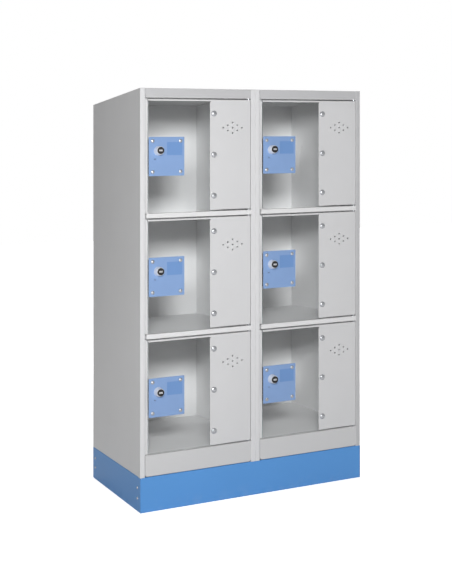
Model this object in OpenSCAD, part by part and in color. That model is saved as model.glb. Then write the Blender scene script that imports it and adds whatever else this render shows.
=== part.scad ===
// Locker with two columns of three compartments on a plinth. Each compartment
// has an inset door: a folded steel leaf on the hinge side that carries a clear
// pane, and a key lock behind a blue plate on the pane's free edge.
//
// The file is laid out in each column's own frame: X runs across from the
// column's left edge, Y runs back from the front face, and Z runs up from the
// floor. The finished part stands on Z = 0, centred in X and Y on its plinth.

/* [Body] */
// Width of one column of compartments
column_w = 400; // [360:5:450]
// Depth of the body from its front face to its back
body_d = 500; // [400:10:600]
// Thickness of the body's steel sheet
sheet_t = 1; // [0.8:0.1:1.2]
// Inside radius of every bend in the sheet
bend_r = 1; // [0.5:0.1:1.2]
// Height of the header above the top doors
header_h = 30.5; // [24:0.5:45]
// Height of the apron under the bottom doors
apron_h = 68; // [50:1:90]
// Height of a shelf's front lip
lip_h = 15.5; // [12:0.5:20]
// Depth of the return flange behind each lip
lip_d = 17; // [14:0.5:17]
// Height of the flanges turned down along the sides and back of a shelf
skirt_h = 15; // [10:1:20]
// Gap between the apron and the plinth
apron_gap = 1.5; // [0.5:0.5:3]
// Side of the relief notches at the apron's lower corners
apron_notch = 4; // [2.5:0.5:8]

/* [Stiles] */
// Width of a stile's front face
stile_w = 16; // [14:0.5:20]
// Depth from the front face to the door stop
stop_d = 18; // [17.6:0.2:22]
// Reach of the door stop beyond the stile
stop_w = 16.5; // [13:0.5:17]
// Gap between a lip's free end and the stile on the lock side
lip_gap = 4.6; // [1:0.2:6]
// Width of the flange at the back of each side sheet
back_flange = 15; // [10:1:25]
// Width of the flange that a side sheet stands on
foot_flange = 22; // [15:1:25]

/* [Plinth] */
// Height of the plinth
plinth_h = 110; // [80:5:150]
// Thickness of the plinth's sheet
plinth_t = 1.5; // [1.2:0.1:2]
// Width of the plinth's top and bottom flanges
plinth_flange = 25; // [20:1:35]
// Depth of the returns at the ends of the plinth's front and back
plinth_return = 50; // [40:1:70]
// Height of the upper row of plinth rivets
rivet_z_high = 75; // [65:1:78]
// Height of the lower row of plinth rivets
rivet_z_low = 42; // [25:1:50]
// Distance of the plinth rivets from the corner
rivet_inset = 27; // [20:1:35]
// Diameter of a rivet's shank
rivet_d = 4.8; // [4:0.1:6]
// Diameter of a rivet's head
rivet_head_d = 9.5; // [8:0.5:12]
// Height of a rivet's head
rivet_head_h = 2; // [1:0.5:3]
// Diameter of a rivet's closed end
rivet_tail_d = 7.5; // [6.5:0.5:9]
// Height of a rivet's closed end
rivet_tail_h = 1; // [0.5:0.5:2]
// Diameter of the floor-fixing holes
anchor_d = 11; // [9:0.5:13]
// Distance of the floor-fixing holes from the plinth's front and back
anchor_inset = 100; // [80:5:140]

/* [Doors] */
// Height of a door
door_h = 355; // [330:1:400]
// Gap above a door
gap_top = 4; // [3:0.5:5]
// Gap below a door
gap_bottom = 4.5; // [3:0.5:6]
// Gap between the stile and the door's free edge
gap_lock = 10; // [8:0.5:12]
// Gap between the door and the stile on the hinge side
gap_hinge = 2; // [1.8:0.1:3]
// Width of the steel leaf beside the pane
leaf_w = 145; // [130:1:170]
// Height of the leaf's rail over the pane
rail_h = 5.5; // [4.5:0.5:10]
// Depth of the door's flanges
door_flange = 15; // [12:0.5:16]
// Side of the relief notch where the rail meets the leaf
relief = 3; // [2:0.5:5]
// Thickness of the clear pane
pane_t = 4; // [3:0.5:4.5]
// Width of the pane that lies behind the leaf
pane_lap = 30; // [24:1:40]
// Clearance over the pane under the rail's flange
pane_clear = 1.2; // [1:0.1:2]
// Height of the middle of the vent holes below the door's top
vent_drop = 91; // [60:1:120]
// Distance of the middle of the vent holes from the hinge edge
vent_inset = 65; // [50:1:80]
// Spacing of the vent holes across
vent_pitch_x = 33.5; // [28:0.5:36]
// Spacing of the vent rows
vent_pitch_z = 8.5; // [7:0.1:12]
// Diameter of a vent hole
vent_d = 5.2; // [4:0.1:6.4]

/* [Door bolts] */
// Distance of the dome bolts from the leaf's free edge
bolt_inset = 14; // [11:0.5:16]
// Distance of the end bolts from the door's top and bottom
bolt_end = 45; // [30:1:70]
// Diameter of a bolt's shank
bolt_d = 6; // [5:0.5:8]
// Diameter of a dome head
dome_d = 19; // [15:0.5:21]
// Height of a dome head
dome_h = 5.5; // [3:0.5:6]
// Width of a nut across its flats
nut_af = 10; // [9:0.5:13]
// Thickness of a nut
nut_t = 5; // [4:0.5:6]
// Length of thread that stands out of a nut
thread_out = 2; // [1:0.5:4]
// Clearance around a bolt or screw in its hole
hole_clear = 0.25; // [0.1:0.05:0.4]

/* [Hinge pins] */
// Diameter of a hinge pin
pin_d = 4; // [3.5:0.1:4.5]
// Radial running clearance of a hinge pin in the door
pin_clear = 0.05; // [0.02:0.01:0.1]
// Distance of the hinge axis from the door's hinge edge
pin_inset = 6; // [5.5:0.1:6.4]
// Distance of the hinge axis behind the front face
pin_back = 5; // [4.8:0.1:5.2]
// Outside diameter of the door's bush around a pin
bush_d = 7; // [6.2:0.2:7.4]
// Length of pin inside the door's bush
pin_reach = 5; // [3:0.5:8]
// Diameter of a pin's collar, in the gap between door and lip
collar_d = 7; // [6:0.2:7.4]
// Clearance between a collar and the door
collar_clear = 0.3; // [0.2:0.05:0.5]
// Diameter of a pin's head
pin_head_d = 6; // [5.2:0.2:6]
// Thickness of a pin's head
pin_head_t = 1.5; // [1:0.5:2]

/* [Lock] */
// Width of the blue lock plate
plate_w = 120; // [110:1:130]
// Height of the lock plate
plate_h = 123; // [110:1:140]
// Thickness of the lock plate
plate_t = 1.5; // [1:0.5:2]
// Corner radius of the lock plate
plate_r = 2; // [1:0.5:6]
// Distance of the lock plate from the pane's free edge
plate_inset = 2; // [1:0.5:3]
// Distance of the lock plate's top below the door's top
plate_drop = 119.5; // [100:0.5:140]
// Distance of the plate's screws from its sides, top and bottom
screw_inset = 13; // [12.6:0.1:16]
// Diameter of a plate screw's shank
screw_d = 5; // [4:0.5:6]
// Diameter of a plate screw's head
screw_head_d = 12; // [10:0.5:14]
// Height of a plate screw's head
screw_head_h = 3.6; // [2:0.2:5]
// Length of a plate screw in the case's boss
screw_reach = 12; // [8:1:16]
// Distance of the barrel's axis from the plate's left edge
barrel_x = 32.5; // [30:0.5:50]
// Distance of the barrel's axis below the plate's top
barrel_drop = 44; // [40:0.5:50]
// Diameter of the barrel's collar at the plate
bezel_base_d = 31; // [28:0.5:36]
// Diameter of the barrel's collar at its face
bezel_face_d = 25; // [24:0.5:27]
// Height of the barrel's collar
bezel_h = 19; // [10:0.5:22]
// Diameter of the barrel's sleeve through the door
sleeve_d = 22; // [20.5:0.5:24]
// Diameter of the nut that holds the barrel
barrel_nut_d = 32; // [28:1:36]
// Thickness of the nut that holds the barrel
barrel_nut_t = 3; // [2:0.5:4]
// Length of the barrel's sleeve that stands out of its nut
sleeve_out = 1; // [0.5:0.5:2]
// Diameter of the turning plug
plug_d = 16; // [14:0.5:18]
// Radial running clearance of the plug in its sleeve
plug_clear = 0.05; // [0.02:0.01:0.1]
// Diameter of the plug's face
face_d = 22.5; // [18:0.5:23]
// Thickness of the plug's face
face_t = 2.6; // [2:0.2:4]
// Length of the key slot
key_l = 9; // [7:0.5:11]
// Width of the key slot
key_w = 2; // [1.4:0.2:2.6]
// Depth of the key slot
key_depth = 4; // [3:0.5:8]
// Diameter of the sight hole in the plate
sight_d = 4; // [3:0.5:5]
// Distance of the sight hole from the plate's left edge
sight_x = 21; // [18:0.5:23]
// Distance of the sight hole below the plate's top
sight_drop = 70; // [66:1:80]

/* [Lock case] */
// Distance of the case from the plate's edge on the bolt side
case_inset = 6.5; // [6.3:0.1:7]
// Distance of the case from the plate's other three edges
case_margin = 7; // [6.5:0.1:7.5]
// Depth of the case behind the pane
case_d = 28; // [26:0.5:34]
// Wall of the case
case_t = 1.5; // [1:0.1:1.6]
// Diameter of the screw bosses in the case
boss_d = 11; // [10.6:0.1:11.4]
// Travel of the bolt
throw = 12; // [10:0.5:13]
// Thickness of the bolt
tongue_t = 4; // [3:0.5:5]
// Height of the bolt
tongue_h = 20; // [19:0.5:24]
// Length of the bolt
tongue_l = 62; // [56:1:66]
// Clearance of the bolt in its guides
tongue_clear = 0.4; // [0.3:0.05:0.6]
// Clearance between the extended bolt and the back of the door stop
strike_clear = 0.6; // [0.5:0.1:1]
// Diameter of the crank pin that drives the bolt
crank_pin_d = 4; // [3:0.5:4.5]
// Clearance of the crank pin in the bolt's slot
crank_clear = 0.35; // [0.3:0.05:0.5]
// Diameter of the crank disc on the plug's tail
crank_disc_d = 24; // [23:0.5:26]
// Thickness of the crank disc
crank_disc_t = 4; // [3:0.5:5]

/* [Joining bolts] */
// Distance of the front joining bolts behind the front face
join_front = 40; // [34:1:60]
// Distance of the back joining bolts in front of the back
join_back = 160; // [140:5:200]
// Height of the joining bolts above a compartment's floor
join_up = 180; // [100:5:250]

/* [Wall fixing] */
// Distance between the two wall-fixing holes of a column
wall_pitch = 240; // [200:10:300]
// Distance of the wall-fixing holes below the body's top
wall_drop = 180; // [150:5:200]
// Diameter of the wall-fixing holes
wall_d = 9; // [7:0.5:11]

/* [Hidden] */
$fn = 48;
columns = 2;
rows = 3;
eps = 0.5;                                // how far a cut runs past its sheet
seat = 0.3;                               // clearance around a notch
drill_past = 1;                           // depth of a screw's hole beyond its end

outer_r = bend_r + sheet_t;               // outside radius of a bend
plinth_r = bend_r + plinth_t;
plinth_w = columns * column_w;
pitch = door_h + gap_top + gap_bottom + lip_h;
base_top = plinth_h + apron_h;            // floor of the bottom compartments
body_h = base_top + rows * pitch - lip_h + header_h;

door_x0 = stile_w + gap_lock;
door_x1 = column_w - stile_w - gap_hinge;
leaf_x0 = door_x1 - leaf_w;
pin_x = door_x1 - pin_inset;
stop_x = stile_w + stop_w;                // free edge of the door stop
pane_front = sheet_t;
pane_back = pane_front + pane_t;
back_y = body_d - 2 * sheet_t;            // front of the back panel

plate_x0 = door_x0 + plate_inset;
plate_front = pane_front - plate_t;
plug_x = plate_x0 + barrel_x;
bezel_front = plate_front - bezel_h;
face_gap = 0.3;                           // running gap behind the plug's face
case_x0 = plate_x0 + case_inset;
case_x1 = plate_x0 + plate_w - case_margin;
case_back = pane_back + case_d;
tongue_y = stop_d + sheet_t + strike_clear;
crank_r = throw / sqrt(2);                // a quarter turn moves the bolt by throw
crank_y = tongue_y - tongue_clear;        // back of the crank disc
tongue_top = throw / 2;                   // bolt's top edge, from the plug's axis
tongue_low = tongue_top - tongue_h;

// Floor of the compartment in row r, counted from the top
function floor_z(r) = base_top + (rows - 1 - r) * pitch;
function door_z0(r) = floor_z(r) + gap_bottom;
function door_z1(r) = door_z0(r) + door_h;
function plate_z1(r) = door_z1(r) - plate_drop;
function plug_z(r) = plate_z1(r) - barrel_drop;

// Doors are numbered down the left column, then down the right one
function door_column(i) = floor((i - 1) / rows);
function door_row(i) = (i - 1) % rows;

door_numbers = [for (i = [1:columns * rows]) i];
door_pieces = ["door_leaf", "door_pane", "door_fixings", "lock_plate", "lock_case",
    "lock_plug", "lock_bolt"];
body_pieces = ["side_panel_left", "side_panel_right", "partition_left", "partition_right",
    "back_panels", "roof_left", "roof_right", "base_left", "base_right",
    "shelf_left_upper", "shelf_left_lower", "shelf_right_upper", "shelf_right_lower",
    "plinth_front", "plinth_back", "plinth_sides", "hinge_pins", "body_fasteners"];

body_grey = [0.78, 0.78, 0.79];
door_grey = [0.83, 0.83, 0.84];
plinth_blue = [0.27, 0.52, 0.80];
plate_blue = [0.50, 0.65, 0.88];
clear_blue = [0.80, 0.88, 0.92, 0.35];
zinc = [0.80, 0.81, 0.83];
chrome = [0.87, 0.88, 0.90];
black = [0.08, 0.08, 0.09];

// ---- helpers ----

// Places a column's geometry, given in that column's own frame
module in_column(c) translate([(c - columns / 2) * column_w, -body_d / 2, 0]) children();

// Extrudes a drawing: (y, z) along X, (x, z) along Y, (x, y) along Z
module along_x(x0, x1) translate([x0, 0, 0]) rotate([90, 0, 90]) linear_extrude(x1 - x0) children();
module along_y(y0, y1) translate([0, y1, 0]) rotate([90, 0, 0]) linear_extrude(y1 - y0) children();
module along_z(z0, z1) translate([0, 0, z0]) linear_extrude(z1 - z0) children();

// A box from its lowest to its highest corner
module block(low, high) translate(low) cube(high - low);

// A rectangle from its lowest to its highest corner, with round corners
module rounded(low, high, r) {
    translate([low.x + r, low.y]) square([high.x - low.x - 2 * r, high.y - low.y]);
    translate([low.x, low.y + r]) square([high.x - low.x, high.y - low.y - 2 * r]);
    for (x = [low.x + r, high.x - r]) for (y = [low.y + r, high.y - r]) translate([x, y]) circle(r);
}

// A cylinder along Y, X or Z, from a to b
module rod_y(x, z, d, a, b) translate([x, b, z]) rotate([90, 0, 0]) cylinder(d = d, h = b - a);
module rod_x(y, z, d, a, b) translate([a, y, z]) rotate([0, 90, 0]) cylinder(d = d, h = b - a);
module rod_z(x, y, d, a, b) translate([x, y, a]) cylinder(d = d, h = b - a);

// A folded sheet seen on edge. Each step is a flat run and the turn after it:
// 1 to the left, -1 to the right, 0 at the end. The sheet lies left of the path.
module fold(steps, t = sheet_t, i = 0) {
    run = steps[i][0];
    turn = steps[i][1];
    far_r = bend_r + t;
    if (run > 0) square([run, t]);
    if (turn != 0) translate([run, turn > 0 ? far_r : -bend_r]) {
        intersection() {
            difference() {
                circle(far_r);
                circle(bend_r);
            }
            translate([0, turn > 0 ? -far_r : 0]) square(far_r);
        }
        translate([turn > 0 ? far_r : bend_r, 0]) rotate(90 * turn) fold(steps, t, i + 1);
    }
}

// Starts a folded sheet at a point, heading by an angle
module fold_from(point, heading, steps, t = sheet_t) translate(point) rotate(heading) fold(steps, t);

// A spherical cap of diameter d and height h that rises towards -Y from y = 0
module dome(d, h) {
    ball_r = (d * d / 4 + h * h) / (2 * h);
    rotate([90, 0, 0]) rotate_extrude() intersection() {
        translate([0, h - ball_r]) circle(ball_r, $fn = 96);
        square([d / 2, h]);
    }
}

// A hexagonal nut along -Y from y = 0, around a shank of diameter d
module nut_y(d) rotate([90, 0, 0]) linear_extrude(nut_t) difference() {
    circle(d = nut_af / cos(30), $fn = 6);
    circle(d = d + 2 * pin_clear);
}

// ---- body ----

// Side sheet on the lock side, seen from above: back flange, side, stile, its
// return and the door stop
module lock_side_section() fold_from([back_flange, body_d], 180, [
    [back_flange - outer_r, 1],
    [body_d - 2 * outer_r, 1],
    [stile_w - 2 * outer_r, 1],
    [stop_d - bend_r - outer_r, -1],
    [stop_w - bend_r, 0]]);

// The same on the hinge side, where the door needs no stop
module hinge_side_section() fold_from([back_flange, body_d], 180, [
    [back_flange - outer_r, 1],
    [body_d - 2 * outer_r, 1],
    [stile_w - 2 * outer_r, 1],
    [stop_d - outer_r, 0]]);

// The lower edge of a side sheet: a foot flange that lies on the plinth, with
// the stile in front of it and the back flange behind it carried down as well
module side_foot() {
    front_y = stop_d + sheet_t + seat;
    rear_y = body_d - outer_r;
    along_y(front_y, rear_y) fold_from([0, plinth_h + 2 * outer_r], -90, [
        [outer_r, 1],
        [foot_flange - outer_r, 0]]);
    along_z(plinth_h, plinth_h + outer_r) intersection() {
        hinge_side_section();
        union() {
            square([stile_w, front_y]);
            translate([0, rear_y]) square([back_flange, outer_r]);
        }
    }
}

module lock_side() {
    along_z(plinth_h + outer_r, body_h - sheet_t) lock_side_section();
    side_foot();
}

module hinge_side() translate([column_w, 0, 0]) mirror([1, 0, 0]) {
    along_z(plinth_h + outer_r, body_h - sheet_t) hinge_side_section();
    side_foot();
}

// Places something at each joining bolt: one near the front and one further
// back, in the top and in the bottom compartment
module at_joins() for (y = [join_front, body_d - join_back]) for (r = [0, rows - 1])
    translate([0, y, floor_z(r) + join_up]) children();

module join_holes(x) at_joins() rod_x(0, 0, bolt_d + 2 * hole_clear, x - eps - sheet_t, x + eps + sheet_t);

module side_panel_left() color(body_grey) in_column(0) lock_side();
module side_panel_right() color(body_grey) in_column(1) hinge_side();

module partition_left() color(body_grey) in_column(0) difference() {
    hinge_side();
    join_holes(column_w);
}

module partition_right() color(body_grey) in_column(1) difference() {
    lock_side();
    join_holes(0);
}

// One flat sheet behind each column, inside the back flanges of its sides,
// with two holes for fixing it to a wall
module back_panels() color(body_grey) for (c = [0:columns - 1]) in_column(c) difference() {
    block([outer_r, back_y, plinth_h + apron_gap], [column_w - outer_r, back_y + sheet_t, body_h - sheet_t]);
    for (side = [-1, 1])
        rod_y(column_w / 2 + side * wall_pitch / 2, body_h - wall_drop, wall_d, back_y - eps, body_d);
}

// A roof, shelf or floor seen from the side: back skirt, top, front face and
// the return behind it. The top's upper face is at height z.
module tray_section(z, face_h) fold_from([back_y, z - skirt_h], 90, [
    [skirt_h - outer_r, 1],
    [back_y - 2 * outer_r, 1],
    [face_h - 2 * outer_r, 1],
    [lip_d - outer_r, 0]]);

// The same seen from the front: the top and the skirts along both sides
module skirt_section(z) fold_from([column_w - sheet_t, z - skirt_h], 90, [
    [skirt_h - outer_r, 1],
    [column_w - 2 * sheet_t - 2 * outer_r, 1],
    [skirt_h - outer_r, 0]]);

// A sheet that spans a column, with its top at height z and a front face that
// starts at x0. It is slotted over the door stop, and the hinge pins' hole is
// cut down to height hole_z.
module tray(z, face_h, x0, hole_z) {
    behind_stop = stop_d + sheet_t + seat;
    difference() {
        union() {
            along_x(x0, column_w - stile_w - seat) tray_section(z, face_h);
            along_y(behind_stop, back_y - outer_r) skirt_section(z);
        }
        block([0, stop_d - seat, z - face_h - eps], [stop_x + seat, behind_stop, z + eps]);
        rod_z(pin_x, pin_back, pin_d + 2 * pin_clear, hole_z, z + eps);
    }
}

module shelf(c, r) color(body_grey) in_column(c)
    tray(floor_z(r), lip_h, stile_w + lip_gap, floor_z(r) - lip_h - eps);

module shelf_left_upper() shelf(0, 0);
module shelf_left_lower() shelf(0, 1);
module shelf_right_upper() shelf(1, 0);
module shelf_right_lower() shelf(1, 1);

// The floor of the bottom compartment, with the apron in front
module base(c) color(body_grey) in_column(c) difference() {
    tray(base_top, apron_h - apron_gap, stile_w + seat, base_top - outer_r);
    for (x = [stile_w + seat, column_w - stile_w - seat]) block([x - apron_notch, -eps, plinth_h],
        [x + apron_notch, lip_d + eps, plinth_h + apron_gap + apron_notch]);
}

module base_left() base(0);
module base_right() base(1);

// The roof lies on the edges of the side sheets; its header hangs between the stiles
module roof(c) color(body_grey) in_column(c) difference() {
    union() {
        along_x(stile_w + seat, column_w - stile_w - seat) tray_section(body_h, header_h);
        block([0, outer_r, body_h - sheet_t], [column_w, body_d, body_h]);
        for (x = [0, column_w - stile_w])
            block([x, 0, body_h - sheet_t], [x + stile_w, body_d, body_h]);
    }
    rod_z(pin_x, pin_back, pin_d + 2 * pin_clear, body_h - header_h - eps, body_h - header_h + outer_r);
}

module roof_left() roof(0);
module roof_right() roof(1);

// ---- plinth ----

module in_plinth() translate([-plinth_w / 2, -body_d / 2, 0]) children();

// The front or back of the plinth: flanges along its top and bottom, and a
// return at each end that lies inside the plinth's side
module plinth_face() {
    x0 = plinth_t;
    x1 = plinth_w - plinth_t;
    along_x(x0 + plinth_r, x1 - plinth_r) fold_from([plinth_flange, plinth_h], 180, [
        [plinth_flange - plinth_r, 1],
        [plinth_h - 2 * plinth_r, 1],
        [plinth_flange - plinth_r, 0]], plinth_t);
    along_z(plinth_r, plinth_h - plinth_r) fold_from([x0, plinth_return], -90, [
        [plinth_return - plinth_r, 1],
        [x1 - x0 - 2 * plinth_r, 1],
        [plinth_return - plinth_r, 0]], plinth_t);
}

// Places something at each rivet of the plinth's left side
module at_rivets() for (y = [rivet_inset, body_d - rivet_inset]) for (z = [rivet_z_low, rivet_z_high])
    translate([0, y, z]) children();

// Mirrors the plinth's left side to its right side as well
module both_sides() {
    children();
    translate([plinth_w, 0, 0]) mirror([1, 0, 0]) children();
}

module rivet_holes() both_sides() at_rivets()
    rod_x(0, 0, rivet_d + 2 * pin_clear, -eps, 2 * plinth_t + eps);

module plinth_front() color(plinth_blue) in_plinth() difference() {
    plinth_face();
    rivet_holes();
}

module plinth_back() color(plinth_blue) in_plinth() difference() {
    translate([0, body_d, 0]) mirror([0, 1, 0]) plinth_face();
    rivet_holes();
}

// A side of the plinth: its flanges run between the returns of front and back
module plinth_side() difference() {
    union() {
        along_y(0, body_d) plinth_side_section(0);
        along_y(plinth_return + seat, body_d - plinth_return - seat)
            plinth_side_section(plinth_flange - plinth_r);
    }
    for (y = [anchor_inset, body_d - anchor_inset])
        rod_z(plinth_flange / 2 + plinth_t, y, anchor_d, -eps, plinth_t + eps);
}

module plinth_side_section(run) fold_from([plinth_r + run, plinth_h], 180, [
    [run, 1],
    [plinth_h - 2 * plinth_r, 1],
    [run, 0]], plinth_t);

module plinth_sides() color(plinth_blue) in_plinth() difference() {
    both_sides() plinth_side();
    rivet_holes();
}

// ---- fixings of the body ----

// A rivet through both sheets, its axis along X and its head outside
module rivet() {
    rotate([0, 0, -90]) dome(rivet_head_d, rivet_head_h);
    rod_x(0, 0, rivet_d, 0, 2 * plinth_t);
    rod_x(0, 0, rivet_tail_d, 2 * plinth_t, 2 * plinth_t + rivet_tail_h);
}

// A bolt through both partitions with its head on the left and a nut on the right
module joining_bolt() {
    rotate([0, 0, -90]) translate([0, -sheet_t, 0]) dome(dome_d, dome_h);
    rod_x(0, 0, bolt_d, -sheet_t, sheet_t + nut_t + thread_out);
    translate([sheet_t, 0, 0]) rotate([0, 0, 90]) nut_y(bolt_d);
}

module body_fasteners() color(zinc) {
    in_plinth() both_sides() at_rivets() rivet();
    in_column(1) at_joins() joining_bolt();
}

// A hinge pin on the Z axis. It goes through the sheet between z = -sheet_t and
// z = 0, its collar fills the gap above, and its end turns in the door's bush.
module hinge_pin(gap) {
    rod_z(0, 0, pin_d, -sheet_t - pin_head_t, gap + pin_reach);
    rod_z(0, 0, collar_d, 0, gap - collar_clear);
    rod_z(0, 0, pin_head_d, -sheet_t - pin_head_t, -sheet_t);
}

module hinge_pins() color(zinc) for (c = [0:columns - 1]) for (r = [0:rows - 1])
    in_column(c) translate([pin_x, pin_back, 0]) {
        translate([0, 0, floor_z(r)]) hinge_pin(gap_bottom);
        translate([0, 0, door_z1(r) + gap_top]) mirror([0, 0, 1]) hinge_pin(gap_top);
    }

// ---- doors ----

module in_door(i) in_column(door_column(i)) children();

// Heights of the three dome bolts of a door
function bolt_zs(r) = [door_z0(r) + bolt_end, (door_z0(r) + door_z1(r)) / 2, door_z1(r) - bolt_end];

module dome_bolt_holes(r, y0, y1) for (z = bolt_zs(r))
    rod_y(leaf_x0 + bolt_inset, z, bolt_d + 2 * hole_clear, y0, y1);

// Places something at each of the lock plate's four screws
module at_screws(r)
    for (x = [plate_x0 + screw_inset, plate_x0 + plate_w - screw_inset])
        for (z = [plate_z1(r) - screw_inset, plate_z1(r) - plate_h + screw_inset])
            translate([x, 0, z]) children();

module screw_holes(r, y0, y1) at_screws(r) rod_y(0, 0, screw_d + 2 * hole_clear, y0, y1);

// Nine vent holes in a diamond: rows of one, two, three, two and one
module vent_holes(r) for (k = [-2:2]) {
    in_row = 3 - abs(k);
    for (j = [0:in_row - 1])
        rod_y(door_x1 - vent_inset + (j - (in_row - 1) / 2) * vent_pitch_x,
            door_z1(r) - vent_drop + k * vent_pitch_z, vent_d, -eps, sheet_t + eps);
}

// The folded steel part of a door: the leaf, the rail over the pane, flanges
// along three edges and a bush for each hinge pin
module door_leaf(i) {
    r = door_row(i);
    z0 = door_z0(r);
    z1 = door_z1(r);
    flange_x0 = leaf_x0 + pane_lap + pane_clear;
    flat_x1 = door_x1 - outer_r;
    color(door_grey) in_door(i) difference() {
        union() {
            block([leaf_x0, 0, z0], [flange_x0, sheet_t, z0 + outer_r]);
            along_z(z0 + outer_r, z1 - outer_r) translate([leaf_x0, 0]) fold([
                [flat_x1 - leaf_x0, 1],
                [door_flange - outer_r, 0]]);
            along_x(door_x0, flat_x1) fold_from([door_flange, z1], 180, [
                [door_flange - outer_r, 1],
                [rail_h - outer_r, 0]]);
            along_x(flange_x0, flat_x1) mirror([0, 1]) fold_from([door_flange, -z0], 180, [
                [door_flange - outer_r, 1],
                [outer_r, 0]]);
            for (z = [z0 + sheet_t, z1 - sheet_t - pin_reach])
                rod_z(pin_x, pin_back, bush_d, z, z + pin_reach);
        }
        for (z = [z0, z1 - sheet_t - pin_reach]) rod_z(pin_x, pin_back, pin_d + 2 * pin_clear,
            z - eps, z + sheet_t + pin_reach + eps);
        block([leaf_x0 - eps, -eps, z1 - rail_h - relief], [leaf_x0 + relief, sheet_t + eps, z1 - rail_h]);
        dome_bolt_holes(r, -eps, sheet_t + eps);
        vent_holes(r);
    }
}

// The clear pane behind the rail and the leaf's edge
module door_pane(i) {
    r = door_row(i);
    color(clear_blue) in_door(i) difference() {
        block([door_x0, pane_front, door_z0(r)],
            [leaf_x0 + pane_lap, pane_back, door_z1(r) - sheet_t - pane_clear]);
        dome_bolt_holes(r, pane_front - eps, pane_back + eps);
        screw_holes(r, pane_front - eps, pane_back + eps);
        rod_y(plug_x, plug_z(r), sleeve_d + 2 * hole_clear, pane_front - eps, pane_back + eps);
    }
}

// Dome bolts and nuts that clamp the pane to the leaf, and the lock's screws
module door_fixings(i) {
    r = door_row(i);
    color(zinc) in_door(i) {
        for (z = bolt_zs(r)) translate([leaf_x0 + bolt_inset, 0, z]) {
            dome(dome_d, dome_h);
            rod_y(0, 0, bolt_d, 0, pane_back + nut_t + thread_out);
            translate([0, pane_back + nut_t, 0]) nut_y(bolt_d);
        }
        at_screws(r) translate([0, plate_front, 0]) {
            dome(screw_head_d, screw_head_h);
            rod_y(0, 0, screw_d, 0, plate_t + pane_t + screw_reach);
        }
    }
}

// ---- lock ----

// The blue plate on the front of the pane
module lock_plate(i) {
    r = door_row(i);
    z1 = plate_z1(r);
    color(plate_blue) in_door(i) difference() {
        along_y(plate_front, pane_front)
            rounded([plate_x0, z1 - plate_h], [plate_x0 + plate_w, z1], plate_r);
        screw_holes(r, plate_front - eps, pane_front + eps);
        rod_y(plug_x, plug_z(r), sleeve_d + 2 * hole_clear, plate_front - eps, pane_front + eps);
        rod_y(plate_x0 + sight_x, z1 - sight_drop, sight_d, plate_front - eps, pane_front + eps);
    }
}

// The case behind the pane, with the barrel that goes through the door and the
// nut that holds the barrel
module lock_case(i) {
    r = door_row(i);
    in_door(i) {
        color(zinc) case_shell(r);
        translate([plug_x, 0, plug_z(r)]) {
            color(chrome) barrel();
            color(zinc) barrel_nut();
        }
    }
}

module case_shell(r) {
    z0 = plate_z1(r) - plate_h + case_margin;
    z1 = plate_z1(r) - case_margin;
    axis_z = plug_z(r);
    guide_y = tongue_y + tongue_t + tongue_clear;
    guide_x0 = plug_x + crank_disc_d / 2;
    guide_x1 = case_x0 + tongue_l + throw;
    difference() {
        union() {
            difference() {
                block([case_x0, pane_back, z0], [case_x1, case_back, z1]);
                block([case_x0 + case_t, pane_back - eps, z0 + case_t],
                    [case_x1 - case_t, case_back - case_t, z1 - case_t]);
            }
            at_screws(r) rod_y(0, 0, boss_d, pane_back, case_back - case_t / 2);
            block([guide_x0, guide_y, axis_z + tongue_low - tongue_clear - case_t],
                [guide_x1, case_back - case_t / 2, axis_z + tongue_top + tongue_clear + case_t]);
            for (z = [axis_z + tongue_low - tongue_clear - case_t, axis_z + tongue_top + tongue_clear])
                block([guide_x0, tongue_y, z], [guide_x1, guide_y + eps, z + case_t]);
        }
        at_screws(r) rod_y(0, 0, screw_d + 2 * pin_clear, pane_back - eps,
            pane_back + screw_reach + drill_past);
        block([case_x0 - eps, tongue_y - tongue_clear, axis_z + tongue_low - tongue_clear],
            [case_x0 + case_t + eps, guide_y, axis_z + tongue_top + tongue_clear]);
    }
}

// The barrel: a tapered collar in front of the plate and a sleeve through it
module barrel() rotate([90, 0, 0]) difference() {
    sleeve_back = -pane_back - barrel_nut_t - sleeve_out;
    union() {
        translate([0, 0, -plate_front])
            cylinder(d1 = bezel_base_d, d2 = bezel_face_d, h = bezel_h);
        translate([0, 0, sleeve_back]) cylinder(d = sleeve_d, h = eps - plate_front - sleeve_back);
    }
    translate([0, 0, -body_d]) cylinder(d = plug_d + 2 * plug_clear, h = 2 * body_d);
}

module barrel_nut() rotate([90, 0, 0]) translate([0, 0, -pane_back - barrel_nut_t]) difference() {
    cylinder(d = barrel_nut_d, h = barrel_nut_t);
    translate([0, 0, -eps]) cylinder(d = sleeve_d + 2 * pin_clear, h = barrel_nut_t + 2 * eps);
}

// The plug turns in the barrel. Its face has the key slot, and the crank disc
// on its tail drives the bolt with a pin.
module lock_plug(i) {
    r = door_row(i);
    face_y = bezel_front - face_gap - face_t;
    disc_y = crank_y - crank_disc_t;
    color(black) in_door(i) translate([plug_x, 0, plug_z(r)]) difference() {
        union() {
            rod_y(0, 0, face_d, face_y, bezel_front - face_gap);
            rod_y(0, 0, plug_d, face_y + eps, disc_y + eps);
            rod_y(0, 0, crank_disc_d, disc_y, crank_y);
            rod_y(throw / 2, -throw / 2, crank_pin_d, crank_y - eps, tongue_y + tongue_t);
        }
        block([-key_l / 2, face_y - eps, -key_w / 2], [key_l / 2, face_y + key_depth, key_w / 2]);
    }
}

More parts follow.
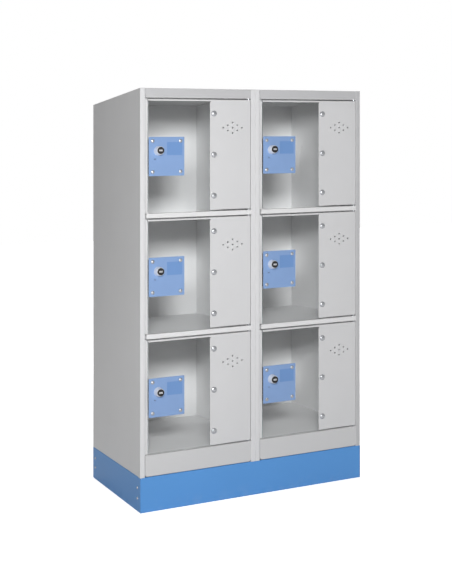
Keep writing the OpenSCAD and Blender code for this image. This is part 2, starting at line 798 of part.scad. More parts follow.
// The bolt slides out of the case behind the door stop. The crank pin moves in
// its upright slot.
module lock_bolt(i) {
    r = door_row(i);
    slot_w = crank_pin_d + 2 * crank_clear;
    slot_low = -crank_r - crank_pin_d / 2 - crank_clear;
    slot_top = -throw / 2 + crank_pin_d / 2 + crank_clear;
    color(zinc) in_door(i) translate([0, 0, plug_z(r)]) difference() {
        block([case_x0, tongue_y, tongue_low], [case_x0 + tongue_l, tongue_y + tongue_t, tongue_top]);
        block([plug_x + throw / 2 - slot_w / 2, tongue_y - eps, slot_low],
            [plug_x + throw / 2 + slot_w / 2, tongue_y + tongue_t + eps, slot_top]);
    }
}

// ---- the nodes ----

side_panel_left();
side_panel_right();
partition_left();
partition_right();
back_panels();
roof_left();
roof_right();
base_left();
base_right();
shelf_left_upper();
shelf_left_lower();
shelf_right_upper();
shelf_right_lower();
plinth_front();
plinth_back();
plinth_sides();
hinge_pins();
body_fasteners();
for (i = door_numbers) {
    door_leaf(i);
    door_pane(i);
    door_fixings(i);
    lock_plate(i);
    lock_case(i);
    lock_plug(i);
    lock_bolt(i);
}
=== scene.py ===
import math

import bmesh
import bpy
from mathutils import Matrix, Vector


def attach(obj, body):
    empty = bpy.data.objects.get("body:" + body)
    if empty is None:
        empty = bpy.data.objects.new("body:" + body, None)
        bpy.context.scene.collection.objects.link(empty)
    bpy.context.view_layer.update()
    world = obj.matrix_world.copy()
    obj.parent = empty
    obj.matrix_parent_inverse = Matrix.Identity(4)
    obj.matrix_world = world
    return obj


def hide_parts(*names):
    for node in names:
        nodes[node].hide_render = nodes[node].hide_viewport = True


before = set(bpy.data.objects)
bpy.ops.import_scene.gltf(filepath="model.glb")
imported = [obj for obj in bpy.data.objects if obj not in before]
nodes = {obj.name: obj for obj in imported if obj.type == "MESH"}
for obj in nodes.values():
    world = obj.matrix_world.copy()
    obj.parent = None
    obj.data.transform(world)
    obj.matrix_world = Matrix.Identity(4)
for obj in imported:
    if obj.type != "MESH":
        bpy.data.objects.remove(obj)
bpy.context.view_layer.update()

# Sizes of the locker that the fittings and the coats are set out from, in metres, as in the part's
# source. BOLT_X, PLATE_X, SCREW_XS and BARREL_X start at the left edge of the door's column and FIELD_X
# at the plate's. PLATE_DROP and BARREL_DROP start at the door's top, the other drops at the plate's.
# The rivets and joints are placed from the middle of the locker and the floor.
COLUMN_W = 0.400
FRONT_Y = -0.250
DOOR_TOPS = (1.2955, 0.9165, 0.5375)
DOOR_H = 0.355
ROW_PITCH = 0.379
BOLT_X = 0.251
BOLT_INSET = 0.045
PLATE_X = 0.028
PLATE_DROP = 0.1195
PLATE_FRONT_Y = FRONT_Y - 0.0005
FIELD_X = (0.061, 0.113)
FIELD_DROP = (0.016, 0.058)
SCREW_XS = (0.041, 0.135)
SCREW_DROPS = (0.013, 0.110)
BARREL_X = 0.0605
BARREL_DROP = 0.1635
KEYWAY_L = 0.0110
KEYWAY_H = 0.0046
RIVET_X = 0.400
RIVET_YS = (-0.223, 0.223)
RIVET_ZS = (0.042, 0.075)
JOINT_YS = (-0.210, 0.090)
JOINT_ZS = (1.116, 0.358)
JOINT_HEAD_X = -0.001

# What a fastener of the recipe is.
DOME_BOLT, PLATE_SCREW = 0, 1

# Where the looks change from front to back: the end of a sheet's painted front shade, the start of the
# plug's black, the face round its key slot, the back of the bright collar and the front of the lock
# case, painted black as painted shade in the sight hole.
FRONT_FACES_Y = FRONT_Y + 0.0006
BLACK_FROM_Y = FRONT_Y - 0.0190
KEY_FACE_Y = BLACK_FROM_Y - 0.003
COLLAR_BACK_Y = FRONT_Y + 0.0004
CASE_FRONT_Y = FRONT_Y + 0.0050

# The space in the compartments, where the sheets are painted lighter, as painted light.
INSIDE_X = 0.3992
INSIDE_YS = (FRONT_Y + 0.0185, 0.2485)
INSIDE_ZS = (0.1770, 1.3285)

# How wide the sharp edges of the lock's pieces and of its plate are rounded.
LOCK_EASE = 0.00025
PLATE_EASE = 0.0003

# The room: how strongly the white world lights the locker, how far the floor glows to the camera near
# the locker and how much more far away, and how white the background looks in gloss and through a pane.
FILL = 0.09
FLOOR_LIFT = 0.70
FAR_LIFT = 0.6
FLOOR_REACH = 30.0
IN_GLOSS = 0.45
THROUGH_PANE = 0.93

BODY = (0.64, 0.64, 0.645)
# The lighter colour below is painted light: the body's coat made lighter for the compartments' walls.
INSIDE_PAINTED_LIGHT = (0.89, 0.89, 0.895)
WHITE = (1.0, 1.0, 1.0, 1.0)
OUT = (0.0, -1.0, 0.0)


class Wire:
    """A socket that shader and geometry maths is written with."""

    def __init__(self, tree, socket):
        self.tree, self.socket = tree, socket

    def out(self, key):
        """Another output of the same node."""
        return Wire(self.tree, self.socket.node.outputs[key])

    def math(self, operation, *values):
        """A maths node on the values given. This wire counts only where it is one of them."""
        return self.tree.node("ShaderNodeMath", {"operation": operation}, dict(enumerate(values)))

    def __add__(self, other):
        return self.math("ADD", self, other)

    def __sub__(self, other):
        return self.math("SUBTRACT", self, other)

    def __rsub__(self, other):
        return self.math("SUBTRACT", other, self)

    def __mul__(self, other):
        return self.math("MULTIPLY", self, other)

    def __mod__(self, other):
        return self.math("FLOORED_MODULO", self, other)

    def __gt__(self, other):
        return self.math("GREATER_THAN", self, other)

    def __lt__(self, other):
        return self.math("LESS_THAN", self, other)

    def __abs__(self):
        return self.math("ABSOLUTE", self)

    __radd__ = __add__
    __rmul__ = __mul__


class Tree:
    """A node tree that is written as calls of node()."""

    def __init__(self, tree):
        self.tree = tree

    def node(self, kind, settings=None, values=None):
        """Adds a node, sets its settings, then fills its sockets by name or number.
        Gives its first output."""
        node = self.tree.nodes.new(kind)
        for key, value in (settings or {}).items():
            setattr(node, key, value)
        for key, value in (values or {}).items():
            if isinstance(value, Wire):
                self.tree.links.new(value.socket, node.inputs[key])
            else:
                node.inputs[key].default_value = value
        return Wire(self, node.outputs[0]) if node.outputs else node

    def mix(self, factor, a, b):
        """A colour between a and b."""
        return self.node("ShaderNodeMix", {"data_type": "RGBA"}, {0: factor, 6: a, 7: b}).out(2)

    def noise(self, spot, scale, detail=2.0, rough=0.5):
        """Soft random patches of 0 to 1, smaller with a larger scale."""
        return self.node(
            "ShaderNodeTexNoise",
            None,
            {"Vector": spot, "Scale": scale, "Detail": detail, "Roughness": rough},
        )

    def ease(self, value, low, high):
        """0 below low, 1 above high, smooth between."""
        return self.node(
            "ShaderNodeMapRange", {"interpolation_type": "SMOOTHSTEP"}, {0: value, 1: low, 2: high}
        )


def material_tree(name):
    """A new material and its tree, still empty."""
    material = bpy.data.materials.new(name)
    material.use_nodes = True
    material.node_tree.nodes.clear()
    return material, Tree(material.node_tree)


def finish_with(tree, shader):
    """Makes the shader the material's surface."""
    tree.node("ShaderNodeOutputMaterial", None, {"Surface": shader})


def paint_with(tree, **values):
    """Makes one plain surface the material's, with its values named as on the node, _ for a space."""
    named = {label.replace("_", " "): value for label, value in values.items()}
    finish_with(tree, tree.node("ShaderNodeBsdfPrincipled", None, named))


def bump_of(tree, height, strength, depth):
    """The surface's small relief, depth metres at strength 1."""
    return tree.node("ShaderNodeBump", None, {"Strength": strength, "Distance": depth, "Height": height})


def tint(colour, by):
    """A colour made lighter or darker, with its alpha."""
    return tuple(channel * by for channel in colour) + (1.0,)


def powder_coat(name, colour, front=None, painted_light_walls=None, roughness=0.42, scuff_below=0.0):
    """Powder-coated sheet: fine orange peel and faint clouding. Its front faces may have a painted
    shade, a darker copy of the coat, and the compartments' walls painted light, a lighter copy of the
    coat, and dust may lie on it below the height scuff_below."""
    material, tree = material_tree(name)
    spot = tree.node("ShaderNodeTexCoord").out("Object")
    clouds = tree.noise(spot, 7.0, 3.0)
    grain = tree.noise(spot, 420.0, 2.0)
    peel = tree.noise(spot, 780.0, 3.0, 0.6)
    shade = tree.mix(clouds, tint(colour, 0.96), tint(colour, 1.03))
    place = tree.node("ShaderNodeSeparateXYZ", None, {0: spot})
    if front:
        # Painted shade: the front faces get a darker copy of the coat.
        shade = tree.mix(place.out("Y") < FRONT_FACES_Y, shade, tint(front, 1.0))
    # Painted light: the compartments' walls get a lighter copy of the coat.
    if painted_light_walls:
        across = abs(place.out("X"))
        painted_light_mask = (
            (across < INSIDE_X) * (place.out("Y") > INSIDE_YS[0]) * (place.out("Y") < INSIDE_YS[1])
            * (place.out("Z") < INSIDE_ZS[1]) * (place.out("Z") > INSIDE_ZS[0])
        )
        shade = tree.mix(painted_light_mask, shade, tree.mix(clouds, tint(painted_light_walls, 0.97), tint(painted_light_walls, 1.02)))
    shade = tree.mix(tree.ease(grain, 0.40, 0.66) * 0.05, shade, tint(colour, 0.70))
    rough = roughness + 0.10 * (grain - 0.5)
    if scuff_below:
        low = tree.ease(place.out("Z") * -1, -scuff_below, 0.0)
        dust = low * tree.ease(tree.noise(spot, 34.0, 6.0), 0.45, 0.75)
        shade = tree.mix(dust * 0.07, shade, (0.42, 0.43, 0.44, 1.0))
        rough = rough + 0.25 * dust
    bump = bump_of(tree, peel, 0.22, 0.0003)
    paint_with(tree, Base_Color=shade, Roughness=rough, Normal=bump, Specular_IOR_Level=0.15)
    return material


def plate_paint(name, colour, field):
    """Blue painted lock plate with a plain darker field beside the barrel."""
    material, tree = material_tree(name)
    spot = tree.node("ShaderNodeTexCoord").out("Object")
    place = tree.node("ShaderNodeSeparateXYZ", None, {0: spot})
    across = (place.out("X") + COLUMN_W) % COLUMN_W - PLATE_X
    down = (DOOR_TOPS[0] - PLATE_DROP - place.out("Z") + ROW_PITCH) % ROW_PITCH
    wobble = 0.0006 * (tree.noise(spot, 300.0, 2.0) - 0.5)
    in_field = (
        (across + wobble > FIELD_X[0]) * (across + wobble < FIELD_X[1])
        * (down + wobble > FIELD_DROP[0]) * (down + wobble < FIELD_DROP[1])
        * (place.out("Y") < FRONT_Y)
    )
    clouds = tree.noise(spot, 24.0, 3.0)
    shade = tree.mix(clouds, tint(colour, 0.95), tint(colour, 1.04))
    shade = tree.mix(in_field * (0.72 + 0.2 * (tree.noise(spot, 900.0) - 0.5)), shade, tint(field, 1.0))
    peel = tree.noise(spot, 1100.0, 2.0)
    bump = bump_of(tree, peel, 0.15, 0.0002)
    rough = 0.36 + 0.08 * (clouds - 0.5) + 0.06 * in_field
    paint_with(tree, Base_Color=shade, Roughness=rough, Normal=bump, Specular_IOR_Level=0.2)
    return material


def plated_steel(name, colour, roughness, metallic, haze=0.08):
    """Zinc or nickel on steel: hazy patches and fine scratches."""
    material, tree = material_tree(name)
    spot = tree.node("ShaderNodeTexCoord").out("Object")
    patches = tree.noise(spot, 160.0, 4.0, 0.6)
    stretched = tree.node("ShaderNodeMapping", None, {"Vector": spot, "Scale": (300.0, 2600.0, 2600.0)})
    scratches = tree.noise(stretched, 1.0, 2.0)
    shade = tree.mix(patches, tint(colour, 0.90), tint(colour, 1.06))
    rough = roughness + haze * (patches - 0.5) + 0.05 * (scratches - 0.5)
    bump = bump_of(tree, scratches, 0.06, 0.0001)
    paint_with(tree, Base_Color=shade, Metallic=metallic, Roughness=rough, Normal=bump)
    return material


def black_face(name):
    """Black plated steel with faint specks, for the plug's face."""
    material, tree = material_tree(name)
    spot = tree.node("ShaderNodeTexCoord").out("Object")
    specks = tree.noise(spot, 900.0, 3.0)
    shade = tree.mix(specks, (0.012, 0.012, 0.013, 1.0), (0.028, 0.028, 0.030, 1.0))
    bump = bump_of(tree, specks, 0.10, 0.0001)
    rough = 0.30 + 0.15 * specks
    paint_with(tree, Base_Color=shade, Roughness=rough, Normal=bump, Specular_IOR_Level=0.25)
    return material


def clear_sheet(name):
    """Clear acrylic sheet with the faintest wave, a few fine wipe marks and tinted cut edges. Its gloss
    is kept faint, and lamps and bounced light pass it straight, so that the white room doesn't veil
    the compartments."""
    material, tree = material_tree(name)
    spot = tree.node("ShaderNodeTexCoord").out("Object")
    wave = tree.noise(spot, 6.0, 1.0)
    wipes = tree.node(
        "ShaderNodeMapping", None, {"Vector": spot, "Scale": (22.0, 22.0, 90.0), "Rotation": (0, 0.5, 0)}
    )
    marks = tree.ease(tree.noise(wipes, 1.0, 4.0), 0.55, 0.85)
    bump = bump_of(tree, wave, 0.02, 0.001)
    facing = tree.node("ShaderNodeTexCoord").out("Normal")
    turned = tree.node("ShaderNodeSeparateXYZ", None, {0: facing}).out("Y")
    cut_edge = abs(turned) < 0.5
    sheet = tree.node(
        "ShaderNodeBsdfPrincipled",
        None,
        {
            "Base Color": tree.mix(cut_edge, (0.975, 0.985, 0.985, 1.0), (0.42, 0.58, 0.60, 1.0)),
            "Roughness": 0.015 + 0.05 * marks,
            "IOR": 1.30,
            "Transmission Weight": 1.0,
            "Normal": bump,
        },
    )
    through = tree.node("ShaderNodeBsdfTransparent", None, {"Color": (0.985, 0.990, 0.990, 1.0)})
    rays = tree.node("ShaderNodeLightPath")
    straight = rays.math("MAXIMUM", rays.out("Is Shadow Ray"), rays.out("Is Diffuse Ray"))
    finish_with(tree, tree.node("ShaderNodeMixShader", None, {0: straight, 1: sheet, 2: through}))
    return material


# One powder coat covers all these sheets. The darker fronts of the stiles, the far stile, the header and
# the apron, and the darker doors, are painted shade; the lighter compartments' walls are painted light.
stile_coat_shaded_lit = powder_coat("stile_coat_painted_shade_and_light", BODY, (0.595, 0.595, 0.605), INSIDE_PAINTED_LIGHT)
far_stile_coat_shaded_lit = powder_coat("far_stile_coat_painted_shade_and_light", BODY, (0.445, 0.445, 0.455), INSIDE_PAINTED_LIGHT)
shelf_coat_lit = powder_coat("shelf_coat_painted_light", BODY, BODY, INSIDE_PAINTED_LIGHT)
header_coat_shaded_lit = powder_coat("header_coat_painted_shade_and_light", BODY, (0.45, 0.45, 0.46), INSIDE_PAINTED_LIGHT)
apron_coat_shaded_lit = powder_coat("apron_coat_painted_shade_and_light", BODY, (0.525, 0.525, 0.53), INSIDE_PAINTED_LIGHT)
door_coat_shaded = powder_coat("door_coat_painted_shade", (0.56, 0.56, 0.568))
plinth_coat = powder_coat("plinth_powder_coat", (0.097, 0.280, 0.605), roughness=0.40, scuff_below=0.05)
plate_coat = plate_paint("lock_plate_paint", (0.203, 0.312, 0.534), (0.114, 0.233, 0.48))
pane_sheet = clear_sheet("clear_acrylic")
zinc = plated_steel("zinc_plate", (0.40, 0.41, 0.43), 0.28, 0.70)
bright = plated_steel("bright_nickel", (0.84, 0.85, 0.88), 0.24, 0.35, 0.05)
face_black = black_face("plug_face_black")

# By the start of the CAD node's name. The first that fits counts.
COATS = {
    "side_panel_right": far_stile_coat_shaded_lit, "side_panel": stile_coat_shaded_lit, "partition": stile_coat_shaded_lit,
    "back_panels": stile_coat_shaded_lit, "roof": header_coat_shaded_lit, "base_": apron_coat_shaded_lit, "shelf": shelf_coat_lit,
    "plinth": plinth_coat, "hinge_pins": zinc, "body_fasteners": zinc, "door_leaf": door_coat_shaded,
    "door_pane": pane_sheet, "door_fixings": zinc, "lock_plate": plate_coat, "lock_case": zinc,
    "lock_plug": zinc, "lock_bolt": zinc,
}


def coat_of(node_name):
    """The material that covers a CAD node."""
    return next(coat for start, coat in COATS.items() if node_name.startswith(start))


def set_coat(obj, *materials):
    """Covers a mesh with the first material. Faces may be given the others afterwards."""
    obj.data.materials.clear()
    for material in materials:
        obj.data.materials.append(material)


def new_piece(name, mesh, body, stands_for=()):
    """Links a finished mesh as a piece of the locker that rides on a body."""
    obj = bpy.data.objects.new(name, mesh)
    bpy.context.scene.collection.objects.link(obj)
    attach(obj, body)
    if stands_for:
        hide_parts(*stands_for)
    return obj


def with_modifiers(obj):
    """The plain mesh that obj's modifiers make. obj itself goes."""
    bpy.context.view_layer.update()
    graph = bpy.context.evaluated_depsgraph_get()
    mesh = bpy.data.meshes.new_from_object(obj.evaluated_get(graph))
    bpy.data.objects.remove(obj)
    return mesh


def eased_mesh(node_name, radius):
    """A merged copy of a CAD node's mesh with its sharp edges rounded."""
    sharp = math.radians(40.0)
    flat = math.radians(0.5)
    same_point = 2e-6
    mesh = nodes[node_name].data.copy()
    shape = bmesh.new()
    shape.from_mesh(mesh)
    bmesh.ops.remove_doubles(shape, verts=shape.verts, dist=same_point)
    bmesh.ops.dissolve_limit(
        shape, angle_limit=flat, verts=shape.verts, edges=shape.edges, use_dissolve_boundaries=False
    )
    for face in shape.faces:
        face.smooth = True
    for edge in shape.edges:
        edge.smooth = edge.is_manifold and edge.calc_face_angle(0.0) < sharp
    shape.to_mesh(mesh)
    shape.free()
    obj = bpy.data.objects.new("easing", mesh)
    bpy.context.scene.collection.objects.link(obj)
    bevel = obj.modifiers.new("ease", "BEVEL")
    bevel.width, bevel.segments, bevel.limit_method = radius, 2, "ANGLE"
    bevel.angle_limit, bevel.harden_normals, bevel.use_clamp_overlap = sharp, False, True
    return with_modifiers(obj)


# ---- Fasteners, as a geometry node recipe ----
def domed_head(tree, width, height, rim):
    """A round head on the XY plane, domed towards +Z, closed underneath."""
    ball = tree.node("GeometryNodeMeshUVSphere", None, {"Segments": 28, "Rings": 16, "Radius": 1.0})
    place = tree.node("GeometryNodeInputPosition")
    parts = tree.node("ShaderNodeSeparateXYZ", None, {0: place})
    up = parts.out("Z")
    radius = width * 0.5
    raised = (up > 0.001) * (rim + up * (height - rim))
    moved = tree.node(
        "ShaderNodeCombineXYZ", None, {0: parts.out("X") * radius, 1: parts.out("Y") * radius, 2: raised}
    )
    return tree.node("GeometryNodeSetPosition", None, {"Geometry": ball, "Position": moved})


def round_bar(tree, width, low, high, sides=20, end_width=None):
    """A bar along Z from low to high, tapered to end_width at the top where it is given."""
    length = high - low
    bar = tree.node(
        "GeometryNodeMeshCone",
        None,
        {
            "Vertices": sides,
            "Radius Bottom": width * 0.5,
            "Radius Top": (width if end_width is None else end_width) * 0.5,
            "Depth": length,
        },
    )
    lift = tree.node("ShaderNodeCombineXYZ", None, {2: low})
    return tree.node("GeometryNodeTransform", None, {"Geometry": bar, "Translation": lift})


def fastener_recipe(name, material):
    """A tree that puts a fastener on every point of a mesh, headed the way its facing attribute points.
    Its kind is DOME_BOLT for a bolt or rivet with a dome head and a nut or tail, or PLATE_SCREW."""
    group = bpy.data.node_groups.new(name, "GeometryNodeTree")
    group.interface.new_socket("Geometry", in_out="INPUT", socket_type="NodeSocketGeometry")
    for label, value in (
        ("Bolt head width", 0.019), ("Bolt head height", 0.0055), ("Bolt width", 0.006),
        ("Nut across flats", 0.010), ("Nut from", 0.010), ("Nut to", 0.005), ("Bolt length", 0.012),
        ("Screw head width", 0.012), ("Screw head height", 0.0036), ("Screw width", 0.005),
        ("Screw length", 0.0175), ("Head rim", 0.0007),
    ):
        socket = group.interface.new_socket(label, in_out="INPUT", socket_type="NodeSocketFloat")
        socket.default_value = value
    seed = group.interface.new_socket("Nut turn seed", in_out="INPUT", socket_type="NodeSocketInt")
    seed.default_value = 7
    group.interface.new_socket("Geometry", in_out="OUTPUT", socket_type="NodeSocketGeometry")
    tree = Tree(group)
    given = tree.node("NodeGroupInput")

    def size(label):
        return given.out(label)

    under_head = 0.0005
    rim = size("Head rim")
    head = domed_head(tree, size("Bolt head width"), size("Bolt head height"), rim)
    shank = round_bar(tree, size("Bolt width"), -1 * size("Bolt length"), under_head)
    corner = size("Nut across flats") * (2 / math.sqrt(3))
    nut_low, nut_high = -1 * size("Nut from"), -1 * size("Nut to")
    chamfer = nut_low + 0.22 * (nut_high - nut_low)
    nut = round_bar(tree, corner, chamfer, nut_high, 6)
    nut_end = round_bar(tree, corner * 0.86, nut_low, chamfer, 6, corner)
    bolt = join(tree, head, shank, nut, nut_end)
    screw_head = domed_head(tree, size("Screw head width"), size("Screw head height"), rim)
    screw_shank = round_bar(tree, size("Screw width"), -1 * size("Screw length"), under_head, 16)
    screw = join(tree, screw_head, screw_shank)
    kinds = tree.node("GeometryNodeGeometryToInstance")
    # The socket takes the last link as its first shape, which is kind 0.
    for made in (screw, bolt):
        group.links.new(made.socket, kinds.socket.node.inputs[0])
    kind = tree.node("GeometryNodeInputNamedAttribute", {"data_type": "INT"}, {"Name": "kind"})
    facing = tree.node(
        "GeometryNodeInputNamedAttribute", {"data_type": "FLOAT_VECTOR"}, {"Name": "facing"}
    )
    heading = tree.node("FunctionNodeAlignRotationToVector", {"axis": "Z"}, {"Vector": facing})
    turn = tree.node(
        "FunctionNodeRandomValue",
        {"data_type": "FLOAT"},
        {2: 0.0, 3: math.tau, "Seed": size("Nut turn seed")},
    ).out(1)
    spin = tree.node("FunctionNodeAxisAngleToRotation", None, {"Axis": (0, 0, 1), "Angle": turn})
    heading = tree.node(
        "FunctionNodeRotateRotation",
        {"rotation_space": "LOCAL"},
        {"Rotation": heading, "Rotate By": spin},
    )
    placed = tree.node(
        "GeometryNodeInstanceOnPoints",
        None,
        {
            "Points": given.out("Geometry"),
            "Instance": kinds,
            "Pick Instance": True,
            "Instance Index": kind,
            "Rotation": heading,
        },
    )
    real = tree.node("GeometryNodeRealizeInstances", None, {"Geometry": placed})
    smooth = tree.node(
        "GeometryNodeSetShadeSmooth", {"domain": "FACE"}, {"Geometry": real, "Shade Smooth": True}
    )
    angle = tree.node("GeometryNodeInputMeshEdgeAngle")
    sharp = angle > math.radians(35)
    edged = tree.node(
        "GeometryNodeSetShadeSmooth",
        {"domain": "EDGE"},
        {"Geometry": smooth, "Selection": sharp, "Shade Smooth": False},
    )
    coated = tree.node("GeometryNodeSetMaterial", None, {"Geometry": edged, "Material": material})
    tree.node("NodeGroupOutput", None, {"Geometry": coated})
    return group


def join(tree, *shapes):
    """Joins geometry wires. The join node's one socket takes them all."""
    joined = tree.node("GeometryNodeJoinGeometry")
    for shape in reversed(shapes):
        tree.tree.links.new(shape.socket, joined.socket.node.inputs[0])
    return joined


def fasteners(recipe, places, **given):
    """The plain mesh of the fasteners that the recipe puts on places, each (x, y, z), facing, kind.
    The recipe's sizes may be given by name."""
    points = bpy.data.meshes.new("fastener_points")
    points.from_pydata([place for place, _, _ in places], [], [])
    points.attributes.new("facing", "FLOAT_VECTOR", "POINT")
    points.attributes.new("kind", "INT", "POINT")
    for number, (_, way, what) in enumerate(places):
        points.attributes["facing"].data[number].vector = way
        points.attributes["kind"].data[number].value = what
    obj = bpy.data.objects.new("fastener_points", points)
    modifier = obj.modifiers.new("fasteners", "NODES")
    modifier.node_group = recipe
    identifiers = {
        item.name: item.identifier for item in recipe.interface.items_tree if item.in_out == "INPUT"
    }
    for label, value in given.items():
        modifier[identifiers[label.replace("_", " ")]] = value
    bpy.context.scene.collection.objects.link(obj)
    mesh = with_modifiers(obj)
    for attribute in ("facing", "kind"):
        if attribute in mesh.attributes:
            mesh.attributes.remove(mesh.attributes[attribute])
    return mesh


def bright_keyway(mesh, x, z):
    """Gives the plug's face a bright rectangle, third material, round its key slot."""
    across, up = Vector((1, 0, 0)), Vector((0, 0, 1))
    shape = bmesh.new()
    shape.from_mesh(mesh)
    for middle, half, way in ((x, KEYWAY_L / 2, across), (z, KEYWAY_H / 2, up)):
        for side in (-1, 1):
            front = [face for face in shape.faces if face.calc_center_median().y < BLACK_FROM_Y]
            parts = dict.fromkeys(front)
            for face in front:
                parts.update(dict.fromkeys([*face.edges, *face.verts]))
            cut = way * (middle + side * half)
            bmesh.ops.bisect_plane(shape, geom=list(parts), dist=1e-7, plane_co=cut, plane_no=way)
    for face in shape.faces:
        spot = face.calc_center_median()
        beside = abs(spot.x - x) < KEYWAY_L / 2 and abs(spot.z - z) < KEYWAY_H / 2
        if beside and spot.y < KEY_FACE_Y:
            face.material_index = 2
    shape.to_mesh(mesh)
    shape.free()


def place_of(number):
    """The left edge of a door's column and the door's top. Doors 1 to 3 go down the left column, and
    4 to 6 down the right."""
    column, row = divmod(number - 1, 3)
    return (column - 1) * COLUMN_W, DOOR_TOPS[row]


# ---- Coats on the CAD nodes ----
for node_name, node in nodes.items():
    set_coat(node, coat_of(node_name))

# ---- Finished fittings ----
zinc_fasteners = fastener_recipe("zinc_fasteners", zinc)

for door in range(1, 7):
    left, top = place_of(door)
    bottom = top - DOOR_H
    body = f"door_{door}"
    bolt_zs = (bottom + BOLT_INSET, (top + bottom) / 2, top - BOLT_INSET)
    bolts = [((left + BOLT_X, FRONT_Y, z), OUT, DOME_BOLT) for z in bolt_zs]
    plate_top = top - PLATE_DROP
    screws = [
        ((left + x, PLATE_FRONT_Y, plate_top - drop), OUT, PLATE_SCREW)
        for x in SCREW_XS for drop in SCREW_DROPS
    ]
    new_piece(
        f"door_bolts_and_screws_{door}",
        fasteners(zinc_fasteners, bolts + screws, Nut_turn_seed=door),
        body,
        [f"door_fixings_{door}"],
    )
    case = new_piece(
        f"lock_case_and_barrel_{door}",
        eased_mesh(f"lock_case_{door}", LOCK_EASE),
        body,
        [f"lock_case_{door}"],
    )
    set_coat(case, zinc, bright, face_black)
    # Painted shade: the case's front is painted black, third material, so that the plate's sight hole
    # looks dark.
    for face in case.data.polygons:
        if face.center.y < COLLAR_BACK_Y:
            face.material_index = 1
        elif face.normal.y < -0.99 and abs(face.center.y - CASE_FRONT_Y) < 0.0002:
            face.material_index = 2  # dark behind the plate's sight hole
    plug = new_piece(
        f"lock_plug_turned_{door}",
        eased_mesh(f"lock_plug_{door}", LOCK_EASE),
        f"plug_{door}",
        [f"lock_plug_{door}"],
    )
    set_coat(plug, zinc, face_black, bright)
    for face in plug.data.polygons:
        face.material_index = int(face.center.y < BLACK_FROM_Y)
    bright_keyway(plug.data, left + BARREL_X, top - BARREL_DROP)
    plate = new_piece(
        f"lock_plate_painted_{door}",
        eased_mesh(f"lock_plate_{door}", PLATE_EASE),
        body,
        [f"lock_plate_{door}"],
    )
    set_coat(plate, plate_coat)

rivets = [
    ((side * RIVET_X, y, z), (side, 0, 0), DOME_BOLT)
    for side in (-1, 1) for y in RIVET_YS for z in RIVET_ZS
]
new_piece(
    "plinth_rivets",
    fasteners(
        zinc_fasteners, rivets, Bolt_head_width=0.0095, Bolt_head_height=0.002, Bolt_width=0.0046,
        Nut_across_flats=0.0066, Nut_from=0.0030, Nut_to=0.0020, Bolt_length=0.0028, Head_rim=0.0004,
    ),
    "locker_body",
)
joining = [((JOINT_HEAD_X, y, z), (-1, 0, 0), DOME_BOLT) for y in JOINT_YS for z in JOINT_ZS]
new_piece(
    "column_joining_bolts",
    fasteners(zinc_fasteners, joining, Nut_from=0.007, Nut_to=0.002, Bolt_length=0.009),
    "locker_body",
    ["body_fasteners"],
)


# ---- Floor, lamps and camera ----
def background_seen(rays):
    """How white the background looks to the camera, in the metals' gloss and through the panes."""
    gloss = rays.out("Is Glossy Ray") * IN_GLOSS
    window = rays.out("Is Transmission Ray") * THROUGH_PANE
    return rays.math("MAXIMUM", rays.out("Is Camera Ray"), rays.math("MAXIMUM", gloss, window))


def stage_floor():
    """A plain pale floor. The camera sees it lifted to white, more so further away, with the locker's
    shadow on it. Through a pane it looks as white as the world does."""
    mesh = bpy.data.meshes.new("floor")
    corners = [(x * FLOOR_REACH, y * FLOOR_REACH, 0) for x, y in ((-1, -1), (1, -1), (1, 1), (-1, 1))]
    mesh.from_pydata(corners, [], [(0, 1, 2, 3)])
    floor = bpy.data.objects.new("floor", mesh)
    bpy.context.scene.collection.objects.link(floor)
    material, tree = material_tree("pale_floor")
    spot = tree.node("ShaderNodeTexCoord").out("Object")
    away = tree.node("ShaderNodeVectorMath", {"operation": "LENGTH"}, {0: spot}).out("Value")
    rays = tree.node("ShaderNodeLightPath")
    lift = background_seen(rays) * (FLOOR_LIFT + FAR_LIFT * tree.ease(away, 0.9, 3.0))
    pale = tree.node("ShaderNodeBsdfDiffuse", None, {"Color": (0.86, 0.86, 0.86, 1.0)})
    glow = tree.node("ShaderNodeEmission", None, {"Color": WHITE, "Strength": lift})
    shown = tree.node("ShaderNodeAddShader", None, {0: pale, 1: glow})
    behind_pane = tree.node("ShaderNodeEmission", None, {"Color": WHITE, "Strength": THROUGH_PANE})
    through = rays.out("Is Transmission Ray")
    finish_with(tree, tree.node("ShaderNodeMixShader", None, {0: through, 1: shown, 2: behind_pane}))
    floor.data.materials.append(material)


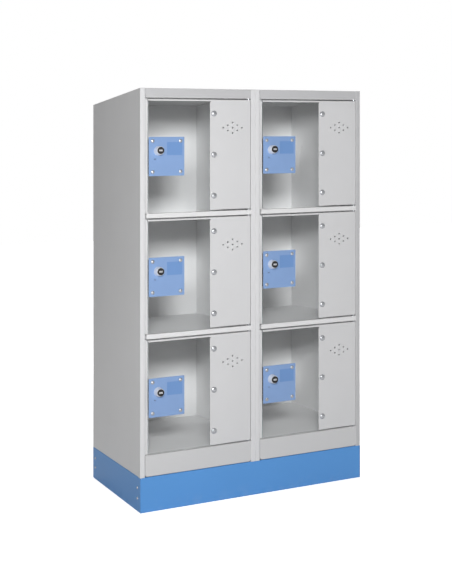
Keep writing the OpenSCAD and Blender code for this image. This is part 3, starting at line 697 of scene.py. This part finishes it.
def studio_world():
    """White behind the locker, and a plain soft fill on it."""
    world = bpy.data.worlds.new("studio")
    bpy.context.scene.world = world
    world.use_nodes = True
    world.node_tree.nodes.clear()
    tree = Tree(world.node_tree)
    rays = tree.node("ShaderNodeLightPath")
    level = FILL + background_seen(rays) * (1.0 - FILL)
    sky = tree.node("ShaderNodeBackground", None, {"Color": WHITE, "Strength": level})
    tree.node("ShaderNodeOutputWorld", None, {"Surface": sky})


def lamp(name, place, target, width, height, level):
    """A soft lamp of width by height. It lights a surface square to it at target as level of white."""
    light = bpy.data.lights.new(name, "AREA")
    light.shape, light.size, light.size_y = "RECTANGLE", width, height
    way = Vector(target) - Vector(place)
    light.energy = level * math.pi ** 2 * way.length_squared
    obj = bpy.data.objects.new(name, light)
    obj.location = place
    obj.rotation_euler = way.to_track_quat("-Z", "Y").to_euler()
    bpy.context.scene.collection.objects.link(obj)


def camera():
    """The photograph's viewpoint. Its picture leans: level lines rise to the right, while upright lines
    stay upright, so the camera is sheared."""
    data = bpy.data.cameras.new("camera")
    data.lens, data.sensor_width = 62.64, 36.0
    data.shift_y = -0.143
    yaw, lean = math.radians(24.37), -0.0371
    right = Vector((math.cos(yaw), -math.sin(yaw), 0))
    up = Vector((0, 0, 1))
    back = Vector((-math.sin(yaw), -math.cos(yaw), 0))
    slanted = right + lean * up
    stand = Matrix((slanted, up, back)).transposed().to_4x4()
    stand.translation = (-1.465, -3.249, 0.943)
    tripod = bpy.data.objects.new("tripod", None)
    obj = bpy.data.objects.new("camera", data)
    for item in (tripod, obj):
        bpy.context.scene.collection.objects.link(item)
    obj.parent = tripod
    obj.matrix_parent_inverse = stand
    bpy.context.scene.camera = obj


stage_floor()
studio_world()
lamp("key", (-1.33, -3.18, 1.57), (0.0, FRONT_Y, 0.70), width=1.10, height=0.45, level=0.93)
lamp("side", (-3.60, -1.75, 1.25), (-0.4, 0.0, 0.65), width=0.90, height=1.20, level=0.05)
lamp("back", (1.20, 2.20, 3.60), (0.0, 0.25, 0.90), width=1.60, height=1.60, level=0.55)
camera()

bpy.context.scene.view_settings.view_transform = "Standard"
